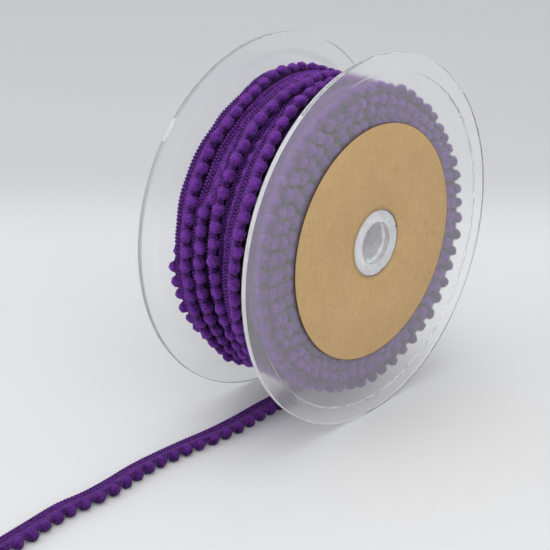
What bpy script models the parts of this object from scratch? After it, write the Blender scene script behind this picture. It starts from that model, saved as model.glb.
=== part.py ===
"""A roll of pompom trim wound on a clear flanged reel, with its free end lying on the surface.

The reel stands on its rims. X runs along its axis, the front flange with the label faces +X, and
the free end of the trim lies towards -Y. The origin is on the surface under the reel's middle.
"""

import math

import bmesh
import bpy
from mathutils import Matrix, Vector

MM = 0.001

# The reel.
REEL_RADIUS = 65.0 * MM
REEL_WIDTH = 48.7 * MM              # over the raised rims
RIM_THICKNESS = 1.7 * MM
FIELD_THICKNESS = 1.0 * MM          # of the disc inside its rim band
RIM_BAND = 5.9 * MM                 # how wide the raised band along the rim is
RIM_BEVEL = 0.3 * MM
BORE_RADIUS = 7.5 * MM
COLLAR_RADIUS = 11.6 * MM
COLLAR_RISE = 0.9 * MM              # of the collar over the disc inside the rim band
FLANGE_STEPS = 64                   # one facet of the rim faces down and is its flat spot

# The core between the flanges.
DRUM_RADIUS = 20.0 * MM
DRUM_WALL = 1.5 * MM
TUBE_WALL = 2.0 * MM
WEB_THICKNESS = 1.5 * MM
CORE_STEPS = 48

# The paper label on the front flange.
LABEL_RADIUS = 41.7 * MM
LABEL_HOLE_RADIUS = 12.0 * MM
LABEL_THICKNESS = 0.3 * MM

# The trim.
POMPOM_SIZE = 4.0 * MM
POMPOM_CELL = 4.1 * MM              # a wound pompom's place across its row
POMPOM_STEPS = (                    # how a wound pompom rises: drawn in by, lifted by
    (0.65 * MM, 2.3 * MM),
    (0.85 * MM, 1.2 * MM),
)
POMPOM_PITCH = 5.7 * MM
BAND_WIDTH = 4.4 * MM
BAND_THICKNESS = 1.0 * MM
POMPOMS_PER_TURN = 60

GAP = 0.3 * MM                      # between pieces that rest on or lie beside each other

AXIS_HEIGHT = REEL_RADIUS * math.cos(math.pi / FLANGE_STEPS)
FLANGE_INNER_FACE = REEL_WIDTH / 2 - RIM_THICKNESS

# Where each visible turn's row of pompoms runs: degrees from the top towards -Y, and millimetres
# along the reel's axis. Between two stations the row bends smoothly.
TURN_STATIONS = {
    "back": ((0, -20.1), (60, -19.8), (120, -20.0), (240, -19.8)),
    "second": (
        (-30, -15.2), (4, -15.3), (13, -14.6), (26, -11.7), (38, -12.5), (50, -13.6),
        (75, -12.4), (98, -13.3), (120, -12.5), (230, -12.2),
    ),
    "under": ((0, -6.2), (120, -6.0), (240, -6.6)),
    "middle": ((20, 0.3), (68, -1.1), (95, -0.2), (120, 1.4), (180, 0.4), (280, -0.6)),
    "fourth": ((15, 7.4), (38, 9.6), (60, 11.0), (85, 9.8), (115, 7.6), (180, 8.8), (280, 9.4)),
    "front": ((0, 19.9), (120, 19.7), (240, 20.0)),
}

# The wound form's lines over the outside, each running once round the reel. A line lies part of
# the way from the far side of one turn's pompoms to the near side of the next turn's.
# Columns: turn, next turn, part of the way, radius in millimetres.
OUTER_LINES = (
    ("back", "back", 1.00, 50.8),
    ("back", "second", 0.00, 50.2),
    ("back", "second", 0.35, 53.3),
    ("back", "second", 1.00, 53.1),
    ("second", "under", 0.00, 51.7),
    ("second", "under", 0.50, 50.6),
    ("second", "under", 1.00, 50.4),
    ("under", "middle", 0.00, 50.1),
    ("under", "middle", 1.00, 53.1),
    ("middle", "fourth", 0.00, 51.7),
    ("middle", "fourth", 0.45, 53.2),
    ("middle", "fourth", 1.00, 53.1),
    ("fourth", "front", 0.00, 51.7),
    ("fourth", "front", 0.40, 53.1),
    ("fourth", "front", 1.00, 53.2),
    ("front", "front", 0.00, 52.2),
)

# Rows whose pompoms show only between some degrees from the top, as other turns lie over the rest.
PARTLY_COVERED = {
    "back": ((86, 126),),
    "under": ((72, 162),),
}

# The wound form's two ends: millimetres along the axis and radius, down to the drum.
FRONT_END_LINES = (
    (20.8, 51.6), (22.2, 49.8), (20.8, 47.8), (22.2, 45.7),
    (20.8, 43.6), (22.2, 41.5), (21.4, 38.8),
)
BACK_END_LINES = (
    (-21.6, 38.6), (-22.2, 41.2), (-21.4, 43.1), (-22.2, 45.0), (-21.4, 46.9), (-22.2, 48.8),
)
WINDING_END = 21.7                  # how far from the middle the hidden turns reach

# The free end's band: millimetres along Y, across X and over the surface at the band's middle,
# and how much higher its outer edge lies than the edge with the pompoms.
LOOSE_END_STATIONS = (
    (5.0, -4.2, 7.7, 0.4),
    (-2.0, -4.3, 6.95, 0.6),
    (-9.0, -4.4, 4.7, 0.9),
    (-17.0, -4.5, 2.7, 1.2),
    (-28.0, -4.2, 2.6, 1.2),
    (-40.0, -3.6, 2.6, 1.2),
    (-52.0, -4.1, 2.4, 0.9),
    (-63.0, -5.6, 2.2, 0.5),
    (-74.0, -6.6, 2.1, 0.2),
    (-86.0, -6.6, 2.2, 0.3),
    (-98.0, -5.2, 2.3, 0.7),
    (-108.0, -4.9, 2.3, 0.6),
    (-118.0, -5.9, 2.3, 0.5),
    (-128.0, -4.8, 2.4, 0.8),
    (-139.0, -3.5, 2.5, 0.9),
    (-151.0, -2.6, 2.4, 0.7),
)
LOOSE_END_PARTS = 3                 # how many pieces each stretch between two stations has
LOOSE_POMPOMS = 26
FIRST_POMPOM = 3.1 * MM             # from the band's start under the roll
POMPOM_ROOT = 0.5 * MM              # how far a pompom sinks into the band's edge
POMPOM_CHAMFER = 1.08 * MM
SMOOTH_ANGLE = 35.0                 # degrees between faces that still shade as one surface


def clear_scene():
    """Start from an empty file."""
    for old in list(bpy.data.objects):
        bpy.data.objects.remove(old, do_unlink=True)


def new_collection(name):
    collection = bpy.data.collections.new(name)
    bpy.context.scene.collection.children.link(collection)
    return collection


def new_material(name, color, roughness, alpha=1.0, transmission=0.0):
    material = bpy.data.materials.new(name)
    material.use_nodes = True
    shader = material.node_tree.nodes["Principled BSDF"]
    shader.inputs["Base Color"].default_value = (*color, 1.0)
    shader.inputs["Roughness"].default_value = roughness
    shader.inputs["Metallic"].default_value = 0.0
    shader.inputs["Alpha"].default_value = alpha
    shader.inputs["Transmission Weight"].default_value = transmission
    return material


def new_object(name, mesh, collection, material):
    mesh.materials.append(material)
    obj = bpy.data.objects.new(name, mesh)
    collection.objects.link(obj)
    return obj


def mesh_from(bm, name):
    bmesh.ops.recalc_face_normals(bm, faces=bm.faces)
    mesh = bpy.data.meshes.new(name)
    bm.to_mesh(mesh)
    bm.free()
    return mesh


def turned(name, profile, steps, facing, collection, material):
    """A closed profile of (radius, place along the axis) turned about the reel's axis."""
    bm = bmesh.new()
    corners = [bm.verts.new((radius, 0.0, along)) for radius, along in profile]
    for here, there in zip(corners, corners[1:] + corners[:1]):
        bm.edges.new((here, there))
    mesh = bpy.data.meshes.new(name)
    bm.to_mesh(mesh)
    bm.free()
    obj = new_object(name, mesh, collection, material)
    screw = obj.modifiers.new("Turn", "SCREW")
    screw.axis = "Z"
    screw.angle = 2 * math.pi
    screw.steps = steps
    screw.render_steps = steps
    screw.use_merge_vertices = True
    screw.merge_threshold = 0.00001
    half_step = Matrix.Rotation(math.pi / steps, 4, "X")
    lay_down = Matrix.Rotation(facing * math.pi / 2, 4, "Y")
    obj.matrix_world = Matrix.Translation((0.0, 0.0, AXIS_HEIGHT)) @ half_step @ lay_down
    return obj


def build_flange(name, facing, collection, material):
    """One disc of the reel. facing is 1 for the front flange and -1 for the back one."""
    inner = FLANGE_INNER_FACE
    rim = inner + RIM_THICKNESS
    field = inner + FIELD_THICKNESS
    collar = field + COLLAR_RISE
    band_radius = REEL_RADIUS - RIM_BAND
    profile = (
        (REEL_RADIUS - RIM_BEVEL, rim),
        (REEL_RADIUS, rim - RIM_BEVEL),
        (REEL_RADIUS, inner + RIM_BEVEL),
        (REEL_RADIUS - RIM_BEVEL, inner),
        (BORE_RADIUS, inner),
        (BORE_RADIUS, collar),
        (COLLAR_RADIUS, collar),
        (COLLAR_RADIUS, field),
        (band_radius, field),
        (band_radius, rim),
    )
    return turned(name, profile, FLANGE_STEPS, facing, collection, material)


def build_core(collection, material):
    """An inner tube and an outer drum, joined half way along by a web."""
    end = FLANGE_INNER_FACE - GAP
    web = WEB_THICKNESS / 2
    drum_inside = DRUM_RADIUS - DRUM_WALL
    tube_outside = BORE_RADIUS + TUBE_WALL
    profile = (
        (DRUM_RADIUS, end),
        (DRUM_RADIUS, -end),
        (drum_inside, -end),
        (drum_inside, -web),
        (tube_outside, -web),
        (tube_outside, -end),
        (BORE_RADIUS, -end),
        (BORE_RADIUS, end),
        (tube_outside, end),
        (tube_outside, web),
        (drum_inside, web),
        (drum_inside, end),
    )
    return turned("core", profile, CORE_STEPS, 1, collection, material)


def build_label(collection, material):
    """A flat paper ring in the recess inside the front flange's rim band."""
    inside = FLANGE_INNER_FACE + FIELD_THICKNESS + GAP
    outside = inside + LABEL_THICKNESS
    profile = (
        (LABEL_RADIUS, outside),
        (LABEL_RADIUS, inside),
        (LABEL_HOLE_RADIUS, inside),
        (LABEL_HOLE_RADIUS, outside),
    )
    return turned("label_ring", profile, FLANGE_STEPS, 1, collection, material)


def ease(part):
    """A share from 0 to 1 that starts and ends softly."""
    return part * part * (3 - 2 * part)


def row_place(turn, degrees):
    """How far along the axis a turn's row of pompoms lies at an angle, in metres."""
    stations = TURN_STATIONS[turn]
    around = stations + ((stations[0][0] + 360, stations[0][1]),)
    degrees = (degrees - stations[0][0]) % 360 + stations[0][0]
    for (start, here), (end, there) in zip(around, around[1:]):
        if degrees <= end:
            return (here + (there - here) * ease((degrees - start) / (end - start))) * MM
    return stations[0][1] * MM


def pompom_shows(turn, degrees):
    """Whether a turn's pompoms lie uncovered at an angle from -180 to 180 degrees."""
    if turn not in PARTLY_COVERED:
        return True
    return any(first <= degrees <= last for first, last in PARTLY_COVERED[turn])


def winding_lines():
    """The wound form's lines in order.

    Each is the turn that the line goes with, whether that turn's pompoms start at the line, and
    a function from degrees to the line's place along the axis and its radius.
    """
    half = POMPOM_CELL / 2

    def plain(along, radius):
        return None, False, lambda degrees: (along * MM, radius * MM)

    def outer(turn, next_turn, part, radius):
        def place(degrees):
            far_side = row_place(turn, degrees) + half
            near_side = row_place(next_turn, degrees) - half
            return far_side + (near_side - far_side) * part, radius * MM

        starts_pompoms = part == 1.0
        return next_turn if starts_pompoms else turn, starts_pompoms, place

    inner_radius = (DRUM_RADIUS + GAP) / math.cos(math.pi / POMPOMS_PER_TURN) / MM
    lines = [plain(-WINDING_END, inner_radius)]
    lines += [plain(*line) for line in BACK_END_LINES]
    lines += [outer(*line) for line in OUTER_LINES]
    lines += [plain(*line) for line in FRONT_END_LINES]
    lines += [plain(WINDING_END, inner_radius)]
    return lines


def raise_pompoms(bm, cells):
    """Grow each cell outwards in steps into a small four-sided ball on its root."""
    for drawn_in, lifted in POMPOM_STEPS:
        bmesh.ops.inset_individual(
            bm, faces=cells, thickness=drawn_in, depth=lifted, use_even_offset=True,
        )


def build_wound_trim(collection, material):
    """The wound form: its section is spun about the axis, then each line takes its turn's way."""
    lines = winding_lines()
    bm = bmesh.new()
    line_of = bm.verts.layers.int.new("line")
    corners = []
    for number, (turn, starts_pompoms, place) in enumerate(lines):
        along, radius = place(0.0)
        corner = bm.verts.new((along, 0.0, radius))
        corner[line_of] = number
        corners.append(corner)
    edges = [bm.edges.new(pair) for pair in zip(corners, corners[1:] + corners[:1])]
    bmesh.ops.spin(
        bm, geom=corners + edges, axis=(1.0, 0.0, 0.0), cent=(0.0, 0.0, 0.0),
        angle=2 * math.pi, steps=POMPOMS_PER_TURN, use_merge=True,
    )
    turns = list(TURN_STATIONS)
    half_pitch = math.pi / POMPOMS_PER_TURN
    for vert in bm.verts:
        turn, starts_pompoms, place = lines[vert[line_of]]
        staggered = turn is not None and turns.index(turn) % 2 == 1
        angle = math.atan2(-vert.co.y, vert.co.z) + (half_pitch if staggered else 0.0)
        along, radius = place(math.degrees(angle))
        vert.co = Vector((along, -radius * math.sin(angle), radius * math.cos(angle)))
    bmesh.ops.recalc_face_normals(bm, faces=bm.faces)

    cells = []
    for face in bm.faces:
        near_line = min(vert[line_of] for vert in face.verts)
        turn, starts_pompoms, place = lines[near_line]
        middle = face.calc_center_median()
        degrees = math.degrees(math.atan2(-middle.y, middle.z))
        if starts_pompoms and pompom_shows(turn, degrees):
            cells.append(face)
    raise_pompoms(bm, cells)
    mesh = mesh_from(bm, "wound_trim")
    mesh.transform(Matrix.Translation((0.0, 0.0, AXIS_HEIGHT)))
    return new_object("wound_trim", mesh, collection, material)


def smooth_between(before, here, there, after, part):
    """A point on the smooth curve between two stations, led by their neighbours."""
    square = part * part
    cube = square * part
    return 0.5 * (
        2 * here + (there - before) * part
        + (2 * before - 5 * here + 4 * there - after) * square
        + (3 * here - before - 3 * there + after) * cube
    )


def loose_end_route():
    """Points along the band's middle, each with the rise of the band's outer edge, in metres."""
    stations = [Vector((x, y, z, rise)) * MM for y, x, z, rise in LOOSE_END_STATIONS]
    padded = [2 * stations[0] - stations[1]] + stations + [2 * stations[-1] - stations[-2]]
    route = []
    for index in range(len(stations) - 1):
        before, here, there, after = padded[index:index + 4]
        for piece in range(LOOSE_END_PARTS):
            route.append(smooth_between(before, here, there, after, piece / LOOSE_END_PARTS))
    route.append(stations[-1])
    return route


def frame_at(route, index):
    """The middle of the band at a route point, its way across and its way up."""
    middle = route[index].xyz
    ahead = (route[min(index + 1, len(route) - 1)].xyz - route[max(index - 1, 0)].xyz).normalized()
    across = Vector((-ahead.y, ahead.x, 0.0)).normalized()
    across.z = -route[index].w / BAND_WIDTH
    across.normalize()
    return middle, across, ahead.cross(across).normalized()


def band_section(route, index):
    """The four corners of the band's section at a route point."""
    middle, across, up = frame_at(route, index)
    half_width = across * BAND_WIDTH / 2
    half_height = up * BAND_THICKNESS / 2
    return (
        middle - half_width - half_height,
        middle + half_width - half_height,
        middle + half_width + half_height,
        middle - half_width + half_height,
    )


def build_band(route):
    """The free end's band as a strip of even width and thickness, extruded along its route."""
    bm = bmesh.new()
    section = band_section(route, 0)
    end_face = bm.faces.new([bm.verts.new(corner) for corner in section])
    for index in range(1, len(route)):
        last_face = end_face
        last_section = section
        section = band_section(route, index)
        grown = bmesh.ops.extrude_face_region(bm, geom=[last_face])["geom"]
        end_face = next(item for item in grown if isinstance(item, bmesh.types.BMFace))
        for vert in end_face.verts:
            nearest = min(range(4), key=lambda n: (last_section[n] - vert.co).length)
            vert.co = section[nearest]
        if index > 1:
            bmesh.ops.delete(bm, geom=[last_face], context="FACES_ONLY")
    return mesh_from(bm, "loose_end")


def point_along(route, distance):
    """The route's point and index at a distance from its start."""
    for index in range(len(route) - 1):
        step = (route[index + 1].xyz - route[index].xyz).length
        if distance <= step:
            return route[index].lerp(route[index + 1], distance / step), index
        distance -= step
    return route[-1], len(route) - 1


def build_pompoms(route):
    """The free end's pompoms: small balls of flat sides, their lowest side level."""
    bm = bmesh.new()
    for number in range(LOOSE_POMPOMS):
        point, index = point_along(route, FIRST_POMPOM + number * POMPOM_PITCH)
        across = frame_at(route, index)[1]
        reach = BAND_WIDTH / 2 + POMPOM_SIZE / 2 - POMPOM_ROOT
        centre = point.xyz + across * reach
        if centre.z < POMPOM_SIZE / 2 + BAND_THICKNESS:
            centre.z = POMPOM_SIZE / 2
        heading = math.atan2(across.y, across.x)
        place = Matrix.Translation(centre) @ Matrix.Rotation(heading, 4, "Z")
        ball = bmesh.ops.create_cube(bm, size=POMPOM_SIZE, matrix=place)
        edges = list({edge for vert in ball["verts"] for edge in vert.link_edges})
        bmesh.ops.bevel(
            bm, geom=edges, offset=POMPOM_CHAMFER, offset_type="OFFSET", segments=1,
            profile=0.5, affect="EDGES", material=-1,
        )
    return mesh_from(bm, "loose_pompoms")


def build_loose_end(collection, cutters, material):
    """The band with its pompoms joined on by their roots."""
    route = loose_end_route()
    band = new_object("loose_end", build_band(route), collection, material)
    pompoms = new_object("loose_pompoms", build_pompoms(route), cutters, material)
    pompoms.display_type = "WIRE"
    pompoms.hide_render = True
    join = band.modifiers.new("Pompoms", "BOOLEAN")
    join.operation = "UNION"
    join.solver = "EXACT"
    join.object = pompoms
    return band


def main():
    clear_scene()
    parts = new_collection("pompom_trim_roll")
    cutters = new_collection("pompom_trim_cutters")
    clear_plastic = new_material("frosted_plastic", (0.90, 0.90, 0.93), 0.30, 0.45, 0.6)
    white_plastic = new_material("core_plastic", (0.88, 0.88, 0.90), 0.35)
    kraft_paper = new_material("kraft_paper", (0.56, 0.37, 0.16), 0.85)
    purple_trim = new_material("purple_trim", (0.16, 0.02, 0.30), 0.95)

    build_flange("flange_front", 1, parts, clear_plastic)
    build_flange("flange_back", -1, parts, clear_plastic)
    build_core(parts, white_plastic)
    build_label(parts, kraft_paper)
    build_wound_trim(parts, purple_trim)
    build_loose_end(parts, cutters, purple_trim)

    for obj in parts.objects:
        obj.data.shade_smooth()
        obj.data.set_sharp_from_angle(angle=math.radians(SMOOTH_ANGLE))


main()
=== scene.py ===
"""The looks of a roll of pompom trim on a frosted reel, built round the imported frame.

Sizes are in metres and places are in the frame's own axes: X along the reel's axis with the label
towards +X, Z up from the surface, and the free end of the trim towards -Y. Tables are in
millimetres, as their comments say.
"""

import math
import random

import bmesh
import bpy
from bpy.props import FloatProperty, FloatVectorProperty, PointerProperty
from mathutils import Matrix, Vector, noise


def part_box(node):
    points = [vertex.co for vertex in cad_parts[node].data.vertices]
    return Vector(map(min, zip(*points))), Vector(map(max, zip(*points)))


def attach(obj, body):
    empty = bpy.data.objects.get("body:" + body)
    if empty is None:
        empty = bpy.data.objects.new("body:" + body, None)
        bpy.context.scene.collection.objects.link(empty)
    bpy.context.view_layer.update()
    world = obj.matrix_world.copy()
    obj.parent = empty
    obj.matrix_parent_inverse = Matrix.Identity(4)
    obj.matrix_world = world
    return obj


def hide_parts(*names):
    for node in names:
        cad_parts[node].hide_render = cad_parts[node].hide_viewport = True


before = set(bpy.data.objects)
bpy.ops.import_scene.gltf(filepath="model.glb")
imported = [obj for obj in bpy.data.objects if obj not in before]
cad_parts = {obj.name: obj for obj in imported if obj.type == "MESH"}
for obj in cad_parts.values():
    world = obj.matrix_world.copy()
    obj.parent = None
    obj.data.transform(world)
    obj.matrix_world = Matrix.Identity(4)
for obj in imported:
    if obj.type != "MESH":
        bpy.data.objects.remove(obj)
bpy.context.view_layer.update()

bl_info = {
    "name": "Pompom Trim Roll",
    "version": (1, 0, 0),
    "blender": (4, 5, 0),
    "location": "View3D > Sidebar > Trim Roll",
    "description": "Builds a roll of pompom trim on a frosted reel, with its free end",
    "category": "Object",
}

MM = 0.001

# The reel, as its solids have it.
FLANGE_LOW, FLANGE_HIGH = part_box("flange_front")
AXIS_HEIGHT = (FLANGE_LOW[2] + FLANGE_HIGH[2]) / 2
AXIS_POINT = Vector((0.0, 0.0, AXIS_HEIGHT))
FLANGE_INNER_FACE = FLANGE_LOW[0]
COLLAR_FACE = FLANGE_HIGH[0]
REEL_RADIUS = 65.0 * MM
RIM_FACE = FLANGE_INNER_FACE + 1.7 * MM
FIELD_FACE = FLANGE_INNER_FACE + 1.0 * MM
WALL_LINE = FLANGE_INNER_FACE + 0.65 * MM  # where the rim wall's bright inner edge, a painted highlight, ends
RIM_BAND_RADIUS = 59.1 * MM
COLLAR_RADIUS = 11.45 * MM
CORNER = 0.3 * MM  # how near a corner its rounded faces lie,
STEP = 0.25 * MM  # how near the step to the rim band,
HAIR = 0.1 * MM  # and how far off a surface a point is clear of it
# Each flange's node, the way it faces, how far its step to the rim band is drawn out, its look.
FLANGES = (
    ("flange_front", 1, 0.3 * MM, "frosted_plastic_look"),
    ("flange_back", -1, 2.4 * MM, "clearer_plastic_look"),
)
# The flanges' material slots, and the looks of those that both flanges share.
CLEAR, MILKY, RIM, EDGE, SHADED_EDGE = range(5)
OTHER_FLANGE_LOOKS = (
    "milky_plastic_look", "rim_plastic_look", "edge_plastic_look", "dark_edge_look",
)
# Degrees from the top towards -Y, of and between which the flanges have these.
COLLAR_NICKS = (199.0, 287.0)  # two nicks in the front collar's edge
BURR = (47.5, 53.5)  # a burr on the back rim
SHADED_RIM = (5.0, 176.0)  # a wall on the back rim, painted darker as shade
BRIGHT_RIM = (16.0, 292.0)  # edges on the front rim's wall, made brighter as a painted highlight
MILKY_RIM = (36.0, 178.0)  # and a wall that is milky all over, painted light on that side
NICK_REACH = 3.2  # degrees that a nick reaches to each side
NICK_DEPTH = 0.45  # in mm
BURR_HEIGHTS = (0.28, 0.25)  # the burr's usual height and how much that varies, in mm
BURR_SCALE = 900.0
BORE_RADIUS = 7.5 * MM
LABEL_LOW, LABEL_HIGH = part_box("label_ring")
LABEL_RADIUS = 41.7 * MM
LABEL_HOLE_RADIUS = 11.85 * MM
LABEL_HOLE_SHIFT = (0.35 * MM, -0.1 * MM)  # of its middle from the axis, in Y and Z
LABEL_BEVEL = 0.04 * MM
# The radii between which the paper darkens to its cut edge, and those between which painted shade
# darkens it towards its hole, beside the collar.
LABEL_EDGE = (LABEL_RADIUS - 0.32 * MM, LABEL_RADIUS - 0.12 * MM)
LABEL_HOLE_EDGE = (LABEL_HOLE_RADIUS + 0.1 * MM, 13.5 * MM)
CORE_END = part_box("core")[1][0]
CORE_BEVEL = 0.2 * MM
DRUM_RADIUS = 20.0 * MM
DRUM_WALL = 1.5 * MM
TUBE_WALL = 2.0 * MM
HALF_WEB = 0.75 * MM  # half the thickness of the web between drum and tube
BORE_STEP = 21.1 * MM  # how far from the middle the bore narrows to its mouths
BORE_INSIDE = 8.1 * MM  # the bore's radius between them
# The ragged edge where the bore narrows at +X: how finely it is torn and where in the noise, how
# far it reaches, and how deep and how far inwards its tears go, in millimetres.
RAGGED_SCALE, RAGGED_PLACE = 4.3, (3.1, 0.0, 0.0)
RAGGED_REACH = 0.4 * MM
RAGGED_DEPTH, RAGGED_INWARD = 2.6, (0.15, 0.3)

# How finely things are turned about the axis, merged and rounded.
REEL_STEPS = 240
BORE_STEPS = 96
MERGE_WITHIN = 0.002 * MM
SHARP_ANGLE = 0.6  # in radians: edges that turn more are rounded

# The trim's band across its width: part of the way from the free edge to the pompoms' middles (1
# to 2 is past them, on the root's far side), height on a rung and height in the slot beside it in
# millimetres, and how light its yarn is on a rung, as painted light and shade.
BAND_SECTION = (
    (-0.05, 0.10, -0.40, 0.60),
    (0.04, 0.84, 0.00, 1.10),
    (0.13, 0.84, -0.04, 1.10),
    (0.19, 0.20, 0.16, 0.20),
    (0.25, 0.00, 0.90, 0.00),
    (0.35, 0.02, 0.92, 0.00),
    (0.41, 0.30, 0.22, 0.26),
    (0.49, 0.66, 0.34, 0.66),
    (0.60, 0.84, 0.62, 0.72),
    (0.74, 1.18, 1.00, 0.76),
    (0.88, 1.42, 1.26, 0.66),
    (1.00, 1.46, 1.26, 0.54),
    (1.70, 0.85, 0.65, 0.30),
    (2.00, -0.25, -0.25, 0.15),
    (1.00, -0.90, -0.90, 0.15),
    (0.52, -0.60, -0.60, 0.15),
    (0.08, -0.50, -0.50, 0.25),
)
EDGE_DRAWN_IN = 0.12  # part of the width that a slot draws the free edge in
# Each rib has four rows: part of the way along it, and how far it stands between slot and rung.
RIB_ROWS = ((0.0, 0.0), (0.26, 0.68), (0.5, 1.0), (0.74, 0.68))
RIBS_PER_TURN = 270
POMPOMS_PER_TURN = 60
POMPOM_PITCH = 5.7 * MM
FIBRE_SCALE = 1900.0
YARN_FUZZ = 0.6 * MM  # how high the yarn's fuzz is taken to stand
MEAN_PAINTED_LIGHT = 0.62  # how light yarn is painted that lies neither high nor low
HOLLOW_SHADE = 1.35  # how much darker painted shade makes it for each mm that it lies lower
# How much painted light lightens a pompom's top, and how much painted shade darkens its ends and
# one side.
TOP_LIGHT, END_SHADE, SIDE_SHADE = 0.36, 0.28, 0.18
# How a pompom's length, width and height vary.
POMPOM_SPREAD = ((0.94, 1.06), (0.94, 1.08), (0.94, 1.06))
# How far pompoms stray from their rows: as a part of their pitch, along the axis and outwards in
# millimetres.
TURN_STRAY = (0.05, 0.3, 0.25)
RING_STRAY = (0.12, (-0.45, 0.3), 0.5)
FREE_STRAY = 0.2
TURN_SEED, RING_SEED, FREE_SEED = 100, 31, 7
RIB_PITCH = POMPOM_PITCH * POMPOMS_PER_TURN / RIBS_PER_TURN
# A turn's root and pompoms: how far the root lies under the pompoms' middles and how far it
# reaches past them in millimetres, a pompom's length as a share of the usual, and how many.
TURN_FORM = (0.15, 1.15, 1.0, POMPOMS_PER_TURN)
OTHER_FORMS = {"back": (1.0, 0.9, 0.9, POMPOMS_PER_TURN), "front": (1.15, 0.8, 0.86, 55)}
FRONT_STAGGER = 0.25  # of a pompom's pitch, at the top
ROOT_SHIFT = 0.1  # how far the root lies from the pompoms towards -X, in mm
TOP_SINK = 0.95  # how much lower the roots lie at the top, in mm,
TOP_SINK_POWER = 8  # and how quickly that is gone on both sides of it
SWAY = 0.7  # how far a band's free edge sways to each side, in mm,
SWAY_RISE = 0.3  # and the part of that by which it rises
SWAY_SCALE = 0.13

# The turns on the outside. Each station: degrees from the top towards -Y; place of the pompoms
# along the axis and radius of their middles; how far the band's free edge lies from them towards
# -X and its radius. In millimetres, eased from one station to the next.
TURNS = {
    "back": (
        (-30, -20.0, 47.4, 1.7, 43.0), (80, -20.0, 47.6, 1.7, 43.2), (89, -20.2, 49.8, 1.8, 45.0),
        (95, -20.3, 51.9, 1.9, 46.8), (124, -20.2, 52.1, 1.9, 47.2), (150, -20.1, 50.0, 1.7, 45.2),
        (200, -20.0, 48.0, 1.7, 43.4),
    ),
    "second": (
        (-30, -16.4, 53.4, 4.9, 52.4), (-10, -17.0, 53.5, 4.6, 52.4), (0, -16.4, 53.5, 4.8, 52.6),
        (7, -15.8, 53.6, 4.9, 53.0), (13, -15.1, 53.6, 4.8, 53.2), (19, -14.3, 53.7, 4.0, 53.5),
        (25, -13.0, 53.8, 4.6, 53.7), (38, -12.5, 53.9, 5.4, 53.9), (50, -13.6, 53.9, 4.7, 54.0),
        (70, -13.2, 53.9, 5.2, 54.2), (88, -13.0, 53.9, 5.0, 53.6), (106, -13.0, 53.9, 4.8, 53.4),
        (125, -12.5, 54.3, 4.8, 53.4), (230, -12.2, 54.0, 5.4, 53.4),
    ),
    "under": (
        (-20, -5.6, 51.4, 6.6, 52.8), (8, -5.4, 51.4, 6.2, 52.8), (30, -5.0, 51.2, 6.2, 52.5),
        (62, -5.2, 51.4, 6.0, 52.5), (73, -7.5, 52.9, 4.0, 52.4), (92, -7.5, 53.1, 4.0, 52.2),
        (120, -7.3, 53.1, 4.2, 52.2), (162, -6.6, 52.8, 4.6, 52.2), (185, -5.8, 51.8, 5.6, 52.4),
    ),
    "middle": (
        (-30, -2.2, 51.4, 8.6, 51.2), (0, -1.2, 53.5, 8.8, 52.6), (8, 0.2, 53.9, 8.4, 53.2),
        (17, -1.1, 53.9, 6.4, 53.6), (24, -1.2, 53.9, 5.7, 53.7), (36, -1.4, 53.9, 6.0, 53.7),
        (46, -1.0, 53.9, 4.8, 53.4), (58, -0.9, 53.9, 3.8, 53.0), (71, -0.8, 53.9, 3.6, 52.6),
        (83, -0.4, 53.9, 3.6, 52.4), (94, 0.3, 53.9, 3.6, 52.2), (106, 1.0, 53.9, 3.6, 52.2),
        (118, 1.6, 54.0, 3.8, 52.4), (180, 0.4, 53.9, 5.5, 53.4), (290, -0.6, 53.4, 6.0, 53.0),
    ),
    "inner": (
        (0, 3.4, 50.6, 4.4, 51.4), (60, 3.5, 50.8, 4.2, 51.6), (120, 4.8, 50.8, 4.2, 51.6),
        (240, 3.4, 50.6, 4.4, 51.4),
    ),
    "fourth": (
        (-30, 5.4, 51.9, 5.0, 51.8), (0, 5.7, 53.0, 2.8, 52.8), (17, 6.1, 53.8, 2.8, 53.5),
        (24, 6.9, 53.9, 3.4, 53.6), (31, 7.6, 53.9, 3.9, 53.6), (38, 8.4, 53.9, 4.3, 53.5),
        (44, 9.6, 53.9, 5.2, 53.5), (62, 11.0, 53.9, 6.6, 53.5), (80, 9.9, 53.9, 6.0, 53.4),
        (98, 8.5, 53.9, 5.0, 53.3), (111, 7.4, 53.9, 4.2, 53.1), (120, 6.6, 54.0, 3.8, 53.0),
        (180, 8.8, 53.9, 5.8, 53.4), (290, 8.4, 53.4, 5.8, 53.0),
    ),
    "front": (
        (0, 20.2, 53.4, 9.6, 52.5), (15, 20.2, 54.0, 9.6, 52.9), (28, 20.2, 54.0, 8.6, 53.2),
        (60, 20.1, 53.9, 6.4, 53.3), (120, 20.2, 53.4, 6.4, 53.0), (166, 20.2, 52.4, 8.4, 52.4),
        (187, 20.2, 53.8, 8.6, 53.0), (206, 20.2, 54.2, 8.8, 53.2), (232, 20.2, 55.5, 8.8, 53.4),
        (256, 20.2, 53.9, 8.8, 53.0), (284, 20.2, 51.3, 8.8, 52.0), (308, 20.2, 50.1, 8.8, 51.4),
        (327, 20.2, 50.5, 8.8, 51.2), (343, 20.2, 51.9, 8.8, 51.6),
    ),
}

# Rings of pompoms that lie against the front flange under the outermost one: radius, how much of
# the outermost ring's wander they follow, how far along the axis their middles lie and how many
# there are, in millimetres.
FRONT_RINGS = (
    (49.9, 0.8, 20.1, 57), (45.9, 0.6, 19.9, 53), (41.9, 0.4, 20.1, 48), (38.0, 0.2, 19.8, 44),
)
FRONT_RING_LIE = 54.0  # the outermost ring's usual radius, in mm
# Bands that lie flat against the back flange: radius and place along the axis of the free edge
# and of the pompoms' side, in millimetres.
BACK_RINGS = (
    ((40.6, -21.9), (46.0, -21.1)), ((36.0, -21.9), (41.6, -21.1)), ((31.4, -21.9), (37.0, -21.1)),
    ((26.8, -21.9), (32.4, -21.1)), ((22.4, -21.9), (27.8, -21.1)),
)
USUAL_RADIUS = 50.0  # where a turn has RIBS_PER_TURN ribs, in mm
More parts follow.
